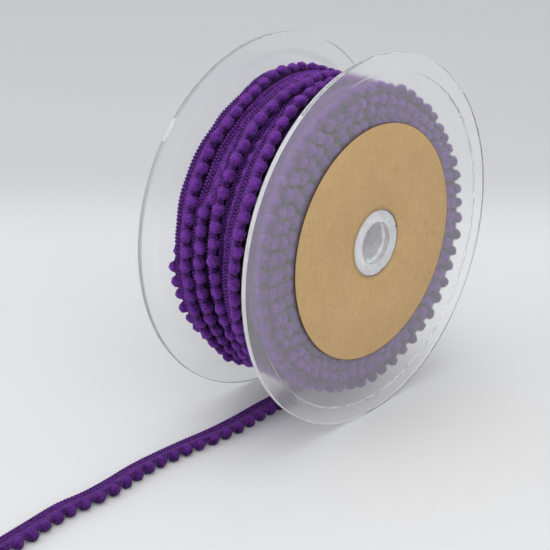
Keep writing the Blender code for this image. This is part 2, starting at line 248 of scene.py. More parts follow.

# The form under the turns that show, painted dark as shade, as place along the axis and radius in
# millimetres.
WINDING_SECTION = (
    (-20.6, 20.4), (-20.6, 44.0), (-20.0, 47.6), (-18.6, 50.6), (-17.0, 52.3), (-9.6, 52.3),
    (-8.0, 51.3), (8.0, 51.3), (17.2, 50.6), (18.2, 47.0), (18.4, 36.0), (20.4, 33.0),
    (20.4, 20.4),
)
WINDING_PAINTED_LIGHT = 0.2  # how light its yarn is painted, deep in painted shade

# The free end's band: Y, X and Z of its middle and how much higher its free edge lies than the
# edge with the pompoms, in millimetres.
FREE_END = (
    (5.0, -4.2, 7.7, 0.4), (-2.0, -4.3, 6.95, 0.6), (-9.0, -4.4, 4.7, 0.9),
    (-17.0, -4.5, 2.7, 1.2), (-28.0, -4.2, 2.6, 1.2), (-40.0, -3.6, 2.6, 1.2),
    (-52.0, -4.1, 2.4, 0.9), (-63.0, -5.6, 2.2, 0.5), (-74.0, -6.6, 2.1, 0.2),
    (-86.0, -6.6, 2.2, 0.3), (-98.0, -5.2, 2.3, 0.7), (-108.0, -4.9, 2.3, 0.6),
    (-118.0, -5.9, 2.3, 0.5), (-128.0, -4.8, 2.4, 0.8), (-139.0, -3.5, 2.5, 0.9),
    (-151.0, -2.6, 2.4, 0.7),
)
FREE_END_PARTS = 3  # pieces in each stretch between two stations
FREE_POMPOMS = 26
FREE_STRETCH = 0.92  # their length as a share of the usual
FIRST_POMPOM = 3.1 * MM
BAND_WIDTH = 4.4 * MM
FREE_ROOT_RISE = 0.5 * MM  # how much higher the free end's root lies than its middle
POMPOM_OFFSET = 3.35 * MM  # from the band's middle to a pompom's
FREE_FLOOR = 0.02 * MM  # the lowest that the free end's pompoms reach
LYING_BELOW = 3.0 * MM  # a pompom with its middle under this lies on the surface,
LYING_MIDDLE = 2.0 * MM  # and then its middle is this high

CAMERA_PLACE = (0.28794, -0.34290, 0.23063)
CAMERA_WAY = (-0.62010, 0.68599, -0.38065)
SENSOR_WIDTH = 36.0
NEAREST_SEEN = 0.01
FLOOR_RADIUS = 6.0
FAR_FLOOR = (0.15, 0.27)  # how far ahead the floor turns to its far colour, painted darker as shade
ROOM_COLOUR = (0.97, 0.98, 1.0, 1.0)
# Each lamp's name, place, size and the setting for its power.
LAMPS = (
    ("key_lamp", (-0.20, -0.10, 2.15), 1.3, "key_light"),
    ("side_lamp", (0.68, -0.34, 0.72), 1.0, "side_light"),
    ("fill_lamp", (-0.60, -0.80, 0.60), 0.9, "fill_light"),
)
LAMPS_AIM = (0.0, 0.0, 0.05)


# Sizes and colours that a user would change


class TrimSettings(bpy.types.PropertyGroup):
    """The pompom trim."""

    pompom_size: FloatProperty(
        name="Pompom Size", description="How far across a pompom is", default=4.2 * MM,
        min=2 * MM, max=5 * MM, subtype="DISTANCE", unit="LENGTH",
    )
    pompom_length: FloatProperty(
        name="Pompom Length", description="How long a pompom is along its row",
        default=5.0 * MM, min=2 * MM, max=6.0 * MM, subtype="DISTANCE", unit="LENGTH",
    )
    lumpiness: FloatProperty(
        name="Lumpiness", description="How uneven each pompom's outside is", default=0.10,
        min=0.0, max=0.15, subtype="FACTOR",
    )
    yarn_colour: FloatVectorProperty(
        name="Yarn", description="The yarn where light falls on it", subtype="COLOR",
        size=3, default=(0.171, 0.036, 0.351), min=0.0, max=1.0,
    )
    # The colour of the yarn where painted shade is deepest.
    hollow_shade_colour: FloatVectorProperty(
        name="Deep Yarn", description="The yarn down between its loops", subtype="COLOR",
        size=3, default=(0.014, 0.001, 0.036), min=0.0, max=1.0,
    )
    sheen_colour: FloatVectorProperty(
        name="Sheen", description="The soft light on the ends of the fibres", subtype="COLOR",
        size=3, default=(0.75, 0.40, 0.95), min=0.0, max=1.0,
    )


class ReelSettings(bpy.types.PropertyGroup):
    """The moulded reel."""

    plastic_colour: FloatVectorProperty(
        name="Plastic", description="The frosted plastic", subtype="COLOR",
        size=3, default=(0.985, 0.985, 0.99), min=0.0, max=1.0,
    )
    clearness: FloatProperty(
        name="Clearness", description="How much light the plastic lets straight on",
        default=0.92, min=0.0, max=1.0, subtype="FACTOR",
    )
    frosting: FloatProperty(
        name="Frosting", description="How matt the plastic's faces are", default=0.19,
        min=0.0, max=1.0, subtype="FACTOR",
    )
    core_colour: FloatVectorProperty(
        name="Core", description="The whitish plastic of the core", subtype="COLOR",
        size=3, default=(0.87, 0.85, 0.87), min=0.0, max=1.0,
    )
    bevel: FloatProperty(
        name="Edge Radius", description="How far the moulded edges are rounded",
        default=0.2 * MM, min=0.05 * MM, max=0.5 * MM, subtype="DISTANCE", unit="LENGTH",
    )


class LabelSettings(bpy.types.PropertyGroup):
    """The plain paper label."""

    paper_colour: FloatVectorProperty(
        name="Paper", description="The brown paper", subtype="COLOR",
        size=3, default=(0.548, 0.365, 0.175), min=0.0, max=1.0,
    )
    fibre_colour: FloatVectorProperty(
        name="Fibres", description="The darker fibres in the paper", subtype="COLOR",
        size=3, default=(0.300, 0.180, 0.075), min=0.0, max=1.0,
    )
    edge_colour: FloatVectorProperty(
        name="Cut Edge", description="The dark cut edge", subtype="COLOR",
        size=3, default=(0.100, 0.050, 0.028), min=0.0, max=1.0,
    )


class StudioSettings(bpy.types.PropertyGroup):
    """The floor, the lights and the camera."""

    floor_colour: FloatVectorProperty(
        name="Floor", description="The floor round the roll", subtype="COLOR",
        size=3, default=(0.714, 0.719, 0.725), min=0.0, max=1.0,
    )
    # Painted shade: the floor further off is painted darker.
    far_shaded_colour: FloatVectorProperty(
        name="Far Floor", description="The floor further away", subtype="COLOR",
        size=3, default=(0.576, 0.588, 0.604), min=0.0, max=1.0,
    )
    room_light: FloatProperty(
        name="Room Light", description="How bright the light from all round is",
        default=0.745, min=0.0, max=3.0,
    )
    key_light: FloatProperty(
        name="Key Light", description="The large soft lamp above on the left, in watts",
        default=8.2, min=0.0, max=50.0, unit="POWER",
    )
    side_light: FloatProperty(
        name="Side Light", description="The large soft lamp that lights the label, in watts",
        default=3.5, min=0.0, max=50.0, unit="POWER",
    )
    fill_light: FloatProperty(
        name="Fill Light", description="The soft lamp low in front on the left, in watts",
        default=2.3, min=0.0, max=50.0, unit="POWER",
    )
    lens: FloatProperty(
        name="Lens", description="The camera's focal length in millimetres", default=88.6,
        min=20.0, max=200.0,
    )


# Materials


def new_group(name, inputs, outputs):
    """A shader node group with these sockets, each a name, a type and, for inputs, a value."""
    group = bpy.data.node_groups.new(name, "ShaderNodeTree")
    for socket_name, kind, value in inputs:
        socket = group.interface.new_socket(
            name=socket_name, in_out="INPUT", socket_type=f"NodeSocket{kind}"
        )
        if value is not None:
            socket.default_value = value
    for socket_name, kind in outputs:
        group.interface.new_socket(
            name=socket_name, in_out="OUTPUT", socket_type=f"NodeSocket{kind}"
        )
    return group, group.nodes.new("NodeGroupInput"), group.nodes.new("NodeGroupOutput")


def fill_inputs(tree, node, values):
    """Set or link a node's inputs, from (input, value or output to link) pairs."""
    for socket, value in values:
        if isinstance(value, bpy.types.NodeSocket):
            tree.links.new(value, node.inputs[socket])
        else:
            node.inputs[socket].default_value = value


def new_node(tree, kind, values=(), **settings):
    """A node with its settings, and its inputs' values or links."""
    node = tree.nodes.new(f"ShaderNode{kind}")
    for key, value in settings.items():
        setattr(node, key, value)
    fill_inputs(tree, node, values)
    return node


def mixed(tree, part, first, second):
    """A colour between two colours. Each may be a colour or an output."""
    node = new_node(tree, "Mix", ((0, part), (6, first), (7, second)), data_type="RGBA")
    return node.outputs[2]


def calculated(tree, operation, first, second=0.0, third=0.5, clamp=False):
    """The output of a Math node."""
    node = new_node(
        tree, "Math", ((0, first), (1, second), (2, third)), operation=operation,
        use_clamp=clamp,
    )
    return node.outputs[0]


def eased_range(tree, value, low, high, to_low=0.0, to_high=1.0):
    """A value taken smoothly from one range to another, and held at its ends."""
    node = new_node(
        tree, "MapRange",
        ((0, value), (1, low), (2, high), (3, to_low), (4, to_high)),
        interpolation_type="SMOOTHSTEP",
    )
    return node.outputs[0]


def noise_at(tree, place, scale, detail=2.0, roughness=0.5):
    """The value output of a noise texture."""
    node = new_node(
        tree, "TexNoise",
        (("Vector", place), ("Scale", scale), ("Detail", detail), ("Roughness", roughness)),
    )
    return node.outputs[0]


def object_place(tree):
    """The point's own place, which the patterns follow."""
    return new_node(tree, "TexCoord").outputs["Object"]


def rgba(colour, brightness=1.0):
    """A colour as a socket takes it."""
    return (*(part * brightness for part in colour), 1.0)


def yarn_group():
    """Soft spun yarn: its colour from painted shade in its hollows to painted light on its tips,
    and the height of its fuzz.
    """
    name = "Soft Yarn"
    if name in bpy.data.node_groups:
        return bpy.data.node_groups[name]
    group, given, result = new_group(
        name,
        (
            ("Yarn", "Color", (0.2, 0.2, 0.2, 1)), ("Deep", "Color", (0.1, 0.1, 0.1, 1)),
            ("Lift", "Float", 1.0), ("Fibre Scale", "Float", 2600.0),
        ),
        (("Colour", "Color"), ("Height", "Float")),
    )
    place = object_place(group)
    fibres = noise_at(group, place, given.outputs["Fibre Scale"], 3.0, 0.65)
    clumps = noise_at(group, place, 750.0, 2.0, 0.55)
    patches = noise_at(group, place, 60.0, 1.0, 0.5)
    light = calculated(group, "MULTIPLY_ADD", clumps, 1.3, -0.65)
    fine = calculated(group, "MULTIPLY_ADD", fibres, 1.5, -0.75)
    wide = calculated(group, "MULTIPLY_ADD", patches, 0.30, -0.15)
    total = calculated(group, "ADD", calculated(group, "ADD", light, fine), wide)
    raised = calculated(group, "ADD", given.outputs["Lift"], total, clamp=True)
    colour = mixed(group, raised, given.outputs["Deep"], given.outputs["Yarn"])
    height = calculated(group, "ADD", fibres, calculated(group, "MULTIPLY", clumps, 1.8))
    fill_inputs(group, result, (("Colour", colour), ("Height", height)))
    return group


def moulded_group():
    """Moulded plastic: fine scuffs in its roughness, and the height of its grain."""
    name = "Moulded Plastic"
    if name in bpy.data.node_groups:
        return bpy.data.node_groups[name]
    group, given, result = new_group(
        name,
        (("Roughness", "Float", 0.3), ("Scuffs", "Float", 0.08), ("Grain Scale", "Float", 900.0)),
        (("Roughness", "Float"), ("Height", "Float")),
    )
    place = object_place(group)
    grain = noise_at(group, place, given.outputs["Grain Scale"], 3.0, 0.6)
    drift = noise_at(group, place, 45.0, 2.0, 0.5)
    spread = calculated(group, "SUBTRACT", calculated(group, "ADD", grain, drift), 1.0)
    scuffs = calculated(group, "MULTIPLY", spread, given.outputs["Scuffs"])
    rough = calculated(group, "ADD", given.outputs["Roughness"], scuffs, clamp=True)
    fill_inputs(group, result, (("Roughness", rough), ("Height", grain)))
    return group


def bump_into(tree, shader, height, distance, strength=1.0):
    """A bump from a height, linked to the shader."""
    bump = new_node(
        tree, "Bump", (("Height", height), ("Distance", distance), ("Strength", strength))
    )
    tree.links.new(bump.outputs["Normal"], shader.inputs["Normal"])


def mould_surface(tree, shader, values, height, strength):
    """Moulded plastic's roughness and grain. values: roughness, scuffs and grain scale."""
    moulded = new_node(
        tree, "Group", zip(("Roughness", "Scuffs", "Grain Scale"), values),
        node_tree=moulded_group(),
    )
    tree.links.new(moulded.outputs["Roughness"], shader.inputs["Roughness"])
    bump_into(tree, shader, moulded.outputs["Height"], height, strength)


def soft_yarn(tree, shader, brightness):
    """Matt soft yarn with painted shade down in its hollows."""
    trim = bpy.context.scene.trim_roll_trim
    lift = new_node(tree, "Attribute", attribute_name="lift", attribute_type="GEOMETRY")
    yarn = new_node(
        tree, "Group",
        (
            ("Yarn", rgba(trim.yarn_colour, brightness)),
            ("Deep", rgba(trim.hollow_shade_colour, brightness)),
            ("Lift", lift.outputs["Fac"]), ("Fibre Scale", FIBRE_SCALE),
        ),
        node_tree=yarn_group(),
    )
    bump_into(tree, shader, yarn.outputs["Height"], YARN_FUZZ)
    fill_inputs(
        tree, shader,
        (
            ("Base Color", yarn.outputs["Colour"]), ("Roughness", 0.92),
            ("Specular IOR Level", 0.10), ("Sheen Weight", 0.24 * brightness),
            ("Sheen Roughness", 0.45), ("Sheen Tint", rgba(trim.sheen_colour)),
        ),
    )


def frosted_plastic(tree, shader, haze, tint=1.0, matt=1.0):
    """Clear plastic with matt faces. haze is how much hazier than usual it is."""
    reel = bpy.context.scene.trim_roll_reel
    roughness = reel.frosting * (0.5 + haze / 2) * matt
    mould_surface(tree, shader, (roughness, 0.06, 700.0), 0.02 * MM, 0.5)
    fill_inputs(
        tree, shader,
        (
            ("Base Color", rgba(reel.plastic_colour, tint)), ("IOR", 1.3),
            ("Transmission Weight", 1 - (1 - reel.clearness) * haze),
        ),
    )
    in_shadow = new_node(tree, "LightPath").outputs["Is Shadow Ray"]
    clear = new_node(tree, "BsdfTransparent", (("Color", (0.95, 0.95, 0.96, 1.0)),))
    mix = new_node(
        tree, "MixShader", ((0, in_shadow), (1, shader.outputs[0]), (2, clear.outputs[0]))
    )
    fill_inputs(tree, tree.nodes["Material Output"], (("Surface", mix.outputs[0]),))


def whitish_plastic(tree, shader, clearness=0.0, brightness=1.0):
    """Whitish moulded plastic, with a faint painted glow from inside that stands in for light."""
    reel = bpy.context.scene.trim_roll_reel
    mould_surface(tree, shader, (0.42, 0.15, 500.0), 0.03 * MM, 0.6)
    cloudy = eased_range(tree, noise_at(tree, object_place(tree), 420.0, 3.0), 0.35, 0.65)
    pale = rgba(reel.core_colour, brightness)
    fill_inputs(
        tree, shader,
        (
            ("Base Color", mixed(tree, cloudy, rgba(pale[:3], 0.87), pale)),
            # A faint glow, painted light where little light reaches.
            ("Transmission Weight", clearness), ("Emission Color", rgba(reel.core_colour)),
            ("Emission Strength", 0.035), ("Subsurface Weight", 0.4),
            ("Subsurface Scale", 4 * MM),
        ),
    )


def kraft_paper(tree, shader):
    """Brown paper with short fibres and specks, a dark cut edge, and painted shade towards its
    hole.
    """
    label = bpy.context.scene.trim_roll_label
    place = object_place(tree)
    along = new_node(tree, "Mapping", (("Vector", place), ("Scale", (1.0, 1.0, 0.22))))
    across = new_node(
        tree, "Mapping",
        (("Vector", place), ("Rotation", (0.7, 0.0, 0.0)), ("Scale", (1.0, 0.2, 1.0))),
    )
    strands = noise_at(tree, along.outputs[0], 900.0, 3.0, 0.6)
    strays = noise_at(tree, across.outputs[0], 1100.0, 3.0, 0.6)
    clouds = noise_at(tree, place, 110.0, 3.0, 0.55)
    specks = noise_at(tree, place, 1500.0, 1.0, 0.4)
    fibre = calculated(tree, "ADD", strands, strays)
    dark = eased_range(tree, fibre, 0.82, 1.30, 0.16, 0.0)
    speck = eased_range(tree, specks, 0.66, 0.76, 0.0, 0.5)
    cloud = eased_range(tree, clouds, 0.25, 0.75, 0.0, 0.12)
    part = calculated(tree, "ADD", calculated(tree, "ADD", dark, speck), cloud, clamp=True)
    paper = mixed(tree, part, rgba(label.paper_colour), rgba(label.fibre_colour))
    parts = new_node(tree, "SeparateXYZ", (("Vector", place),)).outputs
    up = calculated(tree, "SUBTRACT", parts["Z"], AXIS_HEIGHT)
    out = new_node(tree, "CombineXYZ", (("Y", parts["Y"]), ("Z", up))).outputs[0]
    reach = new_node(tree, "VectorMath", ((0, out),), operation="LENGTH").outputs["Value"]
    outside = eased_range(tree, reach, *LABEL_EDGE)
    # Painted shade beside the collar, darker towards the hole.
    inside = eased_range(tree, reach, *LABEL_HOLE_EDGE, 0.28, 0.0)
    edge = calculated(tree, "MAXIMUM", outside, inside)
    bump_into(tree, shader, calculated(tree, "ADD", fibre, specks), 0.02 * MM, 0.5)
    fill_inputs(
        tree, shader,
        (
            ("Base Color", mixed(tree, edge, paper, rgba(label.edge_colour))),
            ("Roughness", 0.82), ("Specular IOR Level", 0.3),
        ),
    )


def pale_floor(tree, shader):
    """A plain pale surface that turns to its far colour behind the roll, as painted shade further
    off.
    """
    studio = bpy.context.scene.trim_roll_studio
    ahead = Vector((*CAMERA_WAY[:2], 0.0)).normalized()
    reach = new_node(
        tree, "VectorMath", ((0, object_place(tree)), (1, ahead)), operation="DOT_PRODUCT"
    )
    far = eased_range(tree, reach.outputs["Value"], *FAR_FLOOR)
    pale = mixed(tree, far, rgba(studio.floor_colour), rgba(studio.far_shaded_colour))
    fill_inputs(
        tree, shader, (("Base Color", pale), ("Roughness", 0.55), ("Specular IOR Level", 0.25))
    )


# What makes each material, with yarn's brightness, frosted plastic's haze, tint and mattness, and
# whitish plastic's clearness and brightness. Yarn with a brightness under 1 is a copy darkened
# with painted shade.
LOOKS = {
    "purple_yarn": (soft_yarn, 1.0), "flange_yarn": (soft_yarn, 0.95),
    "free_end_yarn": (soft_yarn, 0.71), "deep_yarn": (soft_yarn, 0.36),
    "frosted_plastic_look": (frosted_plastic, 1.05),
    "clearer_plastic_look": (frosted_plastic, 0.35),
    "rim_plastic_look": (frosted_plastic, 1.3, 1.0, 0.65),
    "edge_plastic_look": (frosted_plastic, 4.6), "dark_edge_look": (frosted_plastic, 3.5, 0.58),
    "core_plastic_look": (whitish_plastic,), "milky_plastic_look": (whitish_plastic, 0.45, 1.08),
    "kraft_paper_look": (kraft_paper,), "pale_floor": (pale_floor,),
}


def material_of(name):
    """The material of this name, made the first time that it is asked for."""
    if name in bpy.data.materials:
        return bpy.data.materials[name]
    material = bpy.data.materials.new(name)
    material.use_nodes = True
    tree = material.node_tree
    make, *values = LOOKS[name]
    make(tree, tree.nodes["Principled BSDF"], *values)
    return material


# Shapes


def point_round(along, radius, degrees):
    """A point by its place along the axis, radius, and angle from the top towards -Y."""
    angle = math.radians(degrees)
    return Vector((along, -radius * math.sin(angle), AXIS_HEIGHT + radius * math.cos(angle)))


def round_axis(point):
    """A point's angle from the top towards -Y, its radius, and its way out in Y and Z."""
    out = (point - AXIS_POINT).yz
    return math.degrees(math.atan2(-out.x, out.y)) % 360, out.length, out.normalized()


def way_round(along, out, degrees):
    """A direction by how far it goes along the axis and outwards, at an angle."""
    return point_round(along, out, degrees) - AXIS_POINT


def stray(draw, most):
    """A random amount to either side."""
    return draw.uniform(-most, most)


def at_stations(stations, degrees):
    """The stations' values at an angle, eased from each to the next and round to the first."""
    around = stations + ((stations[0][0] + 360, *stations[0][1:]),)
    degrees = (degrees - stations[0][0]) % 360 + stations[0][0]
    for here, there in zip(around, around[1:]):
        if degrees <= there[0]:
            part = (degrees - here[0]) / (there[0] - here[0])
            part = part * part * (3 - 2 * part)
            return [a + (b - a) * part for a, b in zip(here[1:], there[1:])]
    return list(stations[0][1:])


def new_soft_mesh():
    """A bmesh with a UV map and a float on each vertex for how light its yarn is painted, as
    painted light and shade.
    """
    bm = bmesh.new()
    bm.loops.layers.uv.new("UVMap")
    bm.verts.layers.float.new("lift")
    return bm


def knit_band(bm, ribs, spine, past=0.3, relief=1.0):
    """A closed band of ribs, slots, a beaded edge and a thick soft root.

    spine takes how many ribs along it is, and gives the band's free edge, the pompoms' middles
    and its way up. past is how far the root reaches past the pompoms' middles, in mm. relief is
    how much of the usual difference in height is left between rungs and slots.
    """
    lift = bm.verts.layers.float["lift"]
    rows, columns = ribs * len(RIB_ROWS), len(BAND_SECTION)
    places = []
    for row in range(rows + 1):
        rib, step = divmod(row, len(RIB_ROWS))
        part, stand = RIB_ROWS[step]
        places.append((*spine(rib + part), stand))
    made = bmesh.ops.create_grid(
        bm, x_segments=rows, y_segments=columns, size=0.5, calc_uvs=True
    )["verts"]
    for vert in made:
        row = round((vert.co.x + 0.5) * rows)
        column = round((vert.co.y + 0.5) * columns) % columns
        edge, root, up, stand = places[row]
        part, on_rung, in_slot, light = BAND_SECTION[column]
        if column == 0:
            part += EDGE_DRAWN_IN * (1 - stand) * relief
        height = (on_rung + in_slot) / 2 + (on_rung - in_slot) * (stand - 0.5) * relief
        vert.co = edge.lerp(root, min(part, 1.0)) + up * height * MM
        vert.co += (root - edge).normalized() * max(part - 1.0, 0.0) * past * MM
        # Painted shade: the lower the yarn lies below its rung, the darker it is painted.
        below = on_rung - height - (on_rung - in_slot) / 2 * (1 - relief)
        vert[lift] = max(0.0, light * relief + MEAN_PAINTED_LIGHT * (1 - relief) - below * HOLLOW_SHADE)
    bmesh.ops.remove_doubles(bm, verts=made, dist=MERGE_WITHIN)


def add_pompom(bm, middle, along, across, up, draw, stretch=1.0, floor=None):
    """A soft uneven ball, longer along its row. draw gives its random numbers."""
    trim = bpy.context.scene.trim_roll_trim
    lift = bm.verts.layers.float["lift"]
    turn = Matrix.Rotation(draw.uniform(0, math.pi), 3, "X") @ Matrix.Rotation(
        draw.uniform(0, math.pi), 3, "Z"
    )
    halves = (trim.pompom_length / 2 * stretch, trim.pompom_size / 2, trim.pompom_size / 2)
    length, width, height = (
        half * draw.uniform(*spread) for half, spread in zip(halves, POMPOM_SPREAD)
    )
    ball = bmesh.ops.create_uvsphere(
        bm, u_segments=8, v_segments=6, radius=1.0, calc_uvs=True
    )["verts"]
    for vert in ball:
        way = turn @ vert.co * (1 + stray(draw, 1) * trim.lumpiness)
        vert.co = middle + along * way.x * length + across * way.y * width + up * way.z * height
        if floor is not None:
            vert.co.z = max(vert.co.z, floor)
        # Painted light on the pompom's top, painted shade at its ends and on one side.
        shade = END_SHADE * way.x * way.x
        vert[lift] = MEAN_PAINTED_LIGHT + TOP_LIGHT * way.z - shade - SIDE_SHADE * way.y


def new_object(name, data):
    """An object in the scene."""
    made = bpy.data.objects.new(name, data)
    bpy.context.scene.collection.objects.link(made)
    return made


def new_mesh(bm, name, look):
    """The bmesh as a mesh with a material."""
    mesh = bpy.data.meshes.new(name)
    bm.to_mesh(mesh)
    bm.free()
    mesh.materials.append(material_of(look))
    return mesh


def finish_piece(bm, name, look, slot, node, smooth_angle=None):
    """The bmesh as an object that rides on the roll and stands for one of its nodes."""
    bmesh.ops.recalc_face_normals(bm, faces=bm.faces)
    mesh = new_mesh(bm, name, look)
    mesh.shade_smooth()
    if smooth_angle is not None:
        mesh.set_sharp_from_angle(angle=math.radians(smooth_angle))
    piece = new_object(name, mesh)
    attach(piece, "root")
    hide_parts(node)
    return piece


def spin_profile(bm, profile, steps, bevel=0.0):
    """A closed profile of (place along the axis, radius) turned fully about the axis."""
    corners = [bm.verts.new((along, 0.0, radius)) for along, radius in profile]
    edges = [bm.edges.new(pair) for pair in zip(corners, corners[1:] + corners[:1])]
    bmesh.ops.spin(
        bm, geom=corners + edges, axis=(1.0, 0.0, 0.0), cent=(0.0, 0.0, 0.0),
        angle=2 * math.pi, steps=steps, use_merge=True,
    )
    bmesh.ops.remove_doubles(bm, verts=bm.verts, dist=MERGE_WITHIN)
    bmesh.ops.recalc_face_normals(bm, faces=bm.faces)
    if bevel:
        sharp = [edge for edge in bm.edges if edge.calc_face_angle(0.0) > SHARP_ANGLE]
        bmesh.ops.bevel(
            bm, geom=sharp, offset=bevel, offset_type="OFFSET", segments=2, profile=0.5,
            affect="EDGES", material=-1,
        )
    bmesh.ops.translate(bm, verts=bm.verts, vec=(0.0, 0.0, AXIS_HEIGHT))


def turn_spine(name):
    """The spine of a wound turn's band, from ribs along it."""
    stations = TURNS[name]
    drop = OTHER_FORMS.get(name, TURN_FORM)[0]
    sag = 0.0 if name in OTHER_FORMS else TOP_SINK

    def spine(ribs):
        degrees = ribs * 360.0 / RIBS_PER_TURN
        row, radius, reach, edge_radius = at_stations(stations, degrees)
        sway = noise.noise(point_round(row, radius, degrees) * SWAY_SCALE) * SWAY
        edge = Vector((row - reach + sway, edge_radius + sway * SWAY_RISE))
        sink = sag * max(0.0, math.cos(math.radians(degrees))) ** TOP_SINK_POWER
        root = Vector((row - ROOT_SHIFT, radius - drop - sink))
        over = (root - edge).normalized()
        return (
            point_round(edge.x * MM, edge.y * MM, degrees),
            point_round(root.x * MM, root.y * MM, degrees), way_round(-over.y, over.x, degrees),
        )

    return spine


def build_turn(name, number):
    """One wound turn: its band and its row of pompoms."""
    draw = random.Random(TURN_SEED + number)
    stations = TURNS[name]
    past, stretch, count = OTHER_FORMS.get(name, TURN_FORM)[1:]
    on_pitch, on_axis, outwards = TURN_STRAY
    bm = new_soft_mesh()
    stagger = FRONT_STAGGER if name == "front" else 0.5 if number % 2 else 0.0
    for pompom in range(count):
        degrees = (pompom + stagger + stray(draw, on_pitch)) * 360.0 / count
        row, radius = at_stations(stations, degrees)[:2]
        ahead_row = at_stations(stations, degrees + 1)[0]
        middle = point_round(
            (row + stray(draw, on_axis)) * MM, (radius + stray(draw, outwards)) * MM, degrees
        )
        up = way_round(0.0, 1.0, degrees)
        along = (
            point_round(ahead_row * MM, radius * MM, degrees + 1)
            - point_round(row * MM, radius * MM, degrees)
        ).normalized()
        across = up.cross(along).normalized()
        add_pompom(bm, middle, along, across, up, draw, stretch)
    knit_band(bm, RIBS_PER_TURN, turn_spine(name), past)
    # The front turn, behind the front flange, takes yarn darkened with painted shade.
    look = "flange_yarn" if name == "front" else "purple_yarn"
    finish_piece(bm, f"turn_{name}", look, "purple_trim", "wound_trim")


def smooth_between(before, here, there, after, part):
    """A point on the smooth curve between two stations, led by their neighbours."""
    square = part * part
    cube = square * part
    return 0.5 * (
        2 * here + (there - before) * part
        + (2 * before - 5 * here + 4 * there - after) * square
        + (3 * here - before - 3 * there + after) * cube
    )


def free_end_route():
    """Points along the free end's middle, each with the rise of its free edge."""
    stations = [Vector((x, y, z, rise)) * MM for y, x, z, rise in FREE_END]
    padded = [2 * stations[0] - stations[1]] + stations + [2 * stations[-1] - stations[-2]]
    route = []
    for index in range(len(stations) - 1):
        for piece in range(FREE_END_PARTS):
            route.append(smooth_between(*padded[index:index + 4], piece / FREE_END_PARTS))
    route.append(stations[-1])
    return route


def free_end_at(route, distance):
    """The band's middle, and its ways ahead, across towards the pompoms and up, at a distance."""
    for here, there in zip(route, route[1:]):
        step = (there.xyz - here.xyz).length
        if distance <= step:
            break
        distance -= step
    part = min(distance / step, 1.0)
    index = route.index(here)
    before = route[max(index - 1, 0)]
    after = route[min(index + 2, len(route) - 1)]
    middle = here.lerp(there, part)
    ahead = (there.xyz - before.xyz).lerp(after.xyz - here.xyz, part).normalized()
    across = Vector((-ahead.y, ahead.x, 0.0)).normalized()
    across.z = -middle.w / BAND_WIDTH
    across.normalize()
    return middle.xyz, ahead, across, ahead.cross(across).normalized()


# Operators, one for each piece or group of like pieces


class MakeStudio(bpy.types.Operator):
    """Lay a pale floor and set up soft lights and the camera"""

    bl_idname = "trim_roll.make_studio"
    bl_label = "Studio"
    bl_options = {"REGISTER", "UNDO"}

    def execute(self, context):
        studio = context.scene.trim_roll_studio
        camera_data = bpy.data.cameras.new("camera")
        camera_data.lens = studio.lens
        camera_data.sensor_width = SENSOR_WIDTH
        camera_data.clip_start = NEAREST_SEEN
        camera = new_object("camera", camera_data)
        camera.location = CAMERA_PLACE
        camera.rotation_euler = Vector(CAMERA_WAY).to_track_quat("-Z", "Y").to_euler()
        context.scene.camera = camera

        bm = bmesh.new()
        bmesh.ops.create_circle(bm, cap_ends=True, segments=96, radius=FLOOR_RADIUS)
        floor = new_object("floor", new_mesh(bm, "floor", "pale_floor"))

        world = bpy.data.worlds.new("soft_room")
        world.use_nodes = True
        fill_inputs(
            world.node_tree, world.node_tree.nodes["Background"],
            (("Color", ROOM_COLOUR), ("Strength", studio.room_light)),
        )
        context.scene.world = world

        for name, place, size, power in LAMPS:
            lamp_data = bpy.data.lights.new(name, "AREA")
            lamp_data.size = size
            lamp_data.energy = getattr(studio, power)
            lamp = new_object(name, lamp_data)
            lamp.location = place
            aim = Vector(LAMPS_AIM) - Vector(place)
            lamp.rotation_euler = aim.to_track_quat("-Z", "Y").to_euler()
        context.scene.view_settings.view_transform = "Standard"
        return {"FINISHED"}


class MakeFreeEnd(bpy.types.Operator):
    """Lay the free end of the trim on the surface"""

    bl_idname = "trim_roll.make_free_end"
    bl_label = "Free End"
    bl_options = {"REGISTER", "UNDO"}

    def execute(self, context):
        route = free_end_route()
        length = sum((b.xyz - a.xyz).length for a, b in zip(route, route[1:]))
        ribs = int(length / RIB_PITCH)

        def spine(along):
            middle, _, across, up = free_end_at(route, along * length / ribs)
            edge = middle - across * BAND_WIDTH / 2
            return edge, middle + across * POMPOM_OFFSET + up * FREE_ROOT_RISE, up

        bm = new_soft_mesh()
        knit_band(bm, ribs, spine, past=0.6, relief=0.4)
        bmesh.ops.holes_fill(bm, edges=[e for e in bm.edges if e.is_boundary], sides=0)
        # The free end takes yarn darkened with painted shade.
        shared = ("free_end_yarn", "purple_trim", "loose_end")
        band = finish_piece(bm, "free_band", *shared)

        draw = random.Random(FREE_SEED)
        bm = new_soft_mesh()
        for number in range(FREE_POMPOMS):
            distance = FIRST_POMPOM + number * POMPOM_PITCH
            middle, ahead, across, up = free_end_at(route, distance)
            middle = middle + across * (POMPOM_OFFSET + stray(draw, FREE_STRAY) * MM)
            if middle.z < LYING_BELOW:
                middle.z = LYING_MIDDLE
                up = Vector((0.0, 0.0, 1.0))
            add_pompom(bm, middle, ahead, up.cross(ahead), up, draw, FREE_STRETCH, FREE_FLOOR)
        pompoms = finish_piece(bm, "free_pompoms", *shared)
        return {"FINISHED"}


class MakeTurns(bpy.types.Operator):
    """Wind the turns of trim that lie on the outside"""

    bl_idname = "trim_roll.make_turns"
    bl_label = "Wound Turns"
    bl_options = {"REGISTER", "UNDO"}

    def execute(self, context):
        for number, name in enumerate(TURNS):
            build_turn(name, number)
        return {"FINISHED"}


